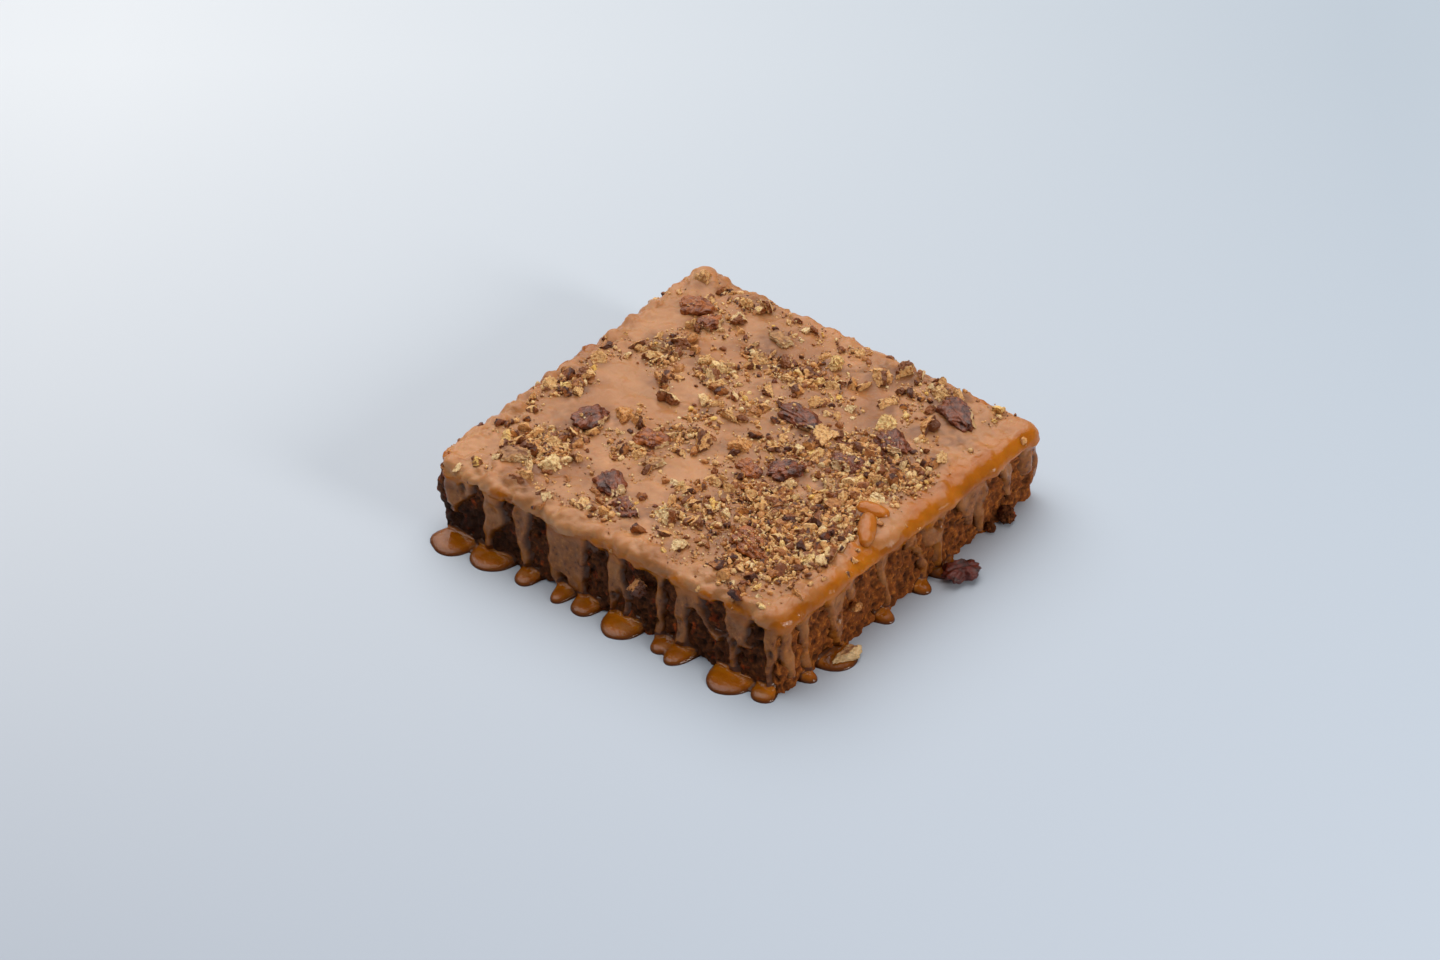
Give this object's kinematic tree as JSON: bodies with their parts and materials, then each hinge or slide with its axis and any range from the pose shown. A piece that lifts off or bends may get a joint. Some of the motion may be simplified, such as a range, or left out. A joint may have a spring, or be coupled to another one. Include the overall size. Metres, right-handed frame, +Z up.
{
  "type": "date cake",
  "caption": "Square date cake: a dark, craggy crumb block under toffee glaze that drips down its sides into pools, topped with chopped pecans.",
  "frame": {"origin": "middle of the crumb block's flat underside, on the surface that the cake stands on", "axes": "+Z up, front side facing -Y, right side (the one with the pecan in a pool) facing +X"},
  "size_m": [0.2272, 0.2211, 0.0475],
  "materials": {
    "crumb": "open, craggy dark brown crumb, matte and slightly moist",
    "toffee": "smooth poured toffee, glossy, amber where it is thick",
    "pecan_dark": "dark purple-brown nut skin, satin",
    "pecan_red": "red-brown nut skin, satin",
    "pecan_pale": "pale broken nut flesh, matte"
  },
  "bodies": {
    "root": {"back_left_half": "pecan_red", "back_left_piece": "pecan_red", "back_pale_piece": "pecan_pale", "back_right_half": "pecan_dark", "cake": "crumb", "centre_dark": "pecan_dark", "centre_grey": "pecan_pale", "centre_purple": "pecan_dark", "centre_rust": "pecan_red", "foot_pecan": "pecan_red", "front_left_half": "pecan_pale", "front_open_half": "pecan_dark", "front_purple": "pecan_dark", "front_right_half": "pecan_red", "front_tan_piece": "pecan_pale", "left_flake": "pecan_red", "left_pair_near": "pecan_dark", "left_tan_piece": "pecan_pale", "middle_half": "pecan_dark", "pool_pecan": "pecan_pale", "right_lump": "pecan_dark", "toffee_glaze": "toffee"}
  },
  "joints": []
}
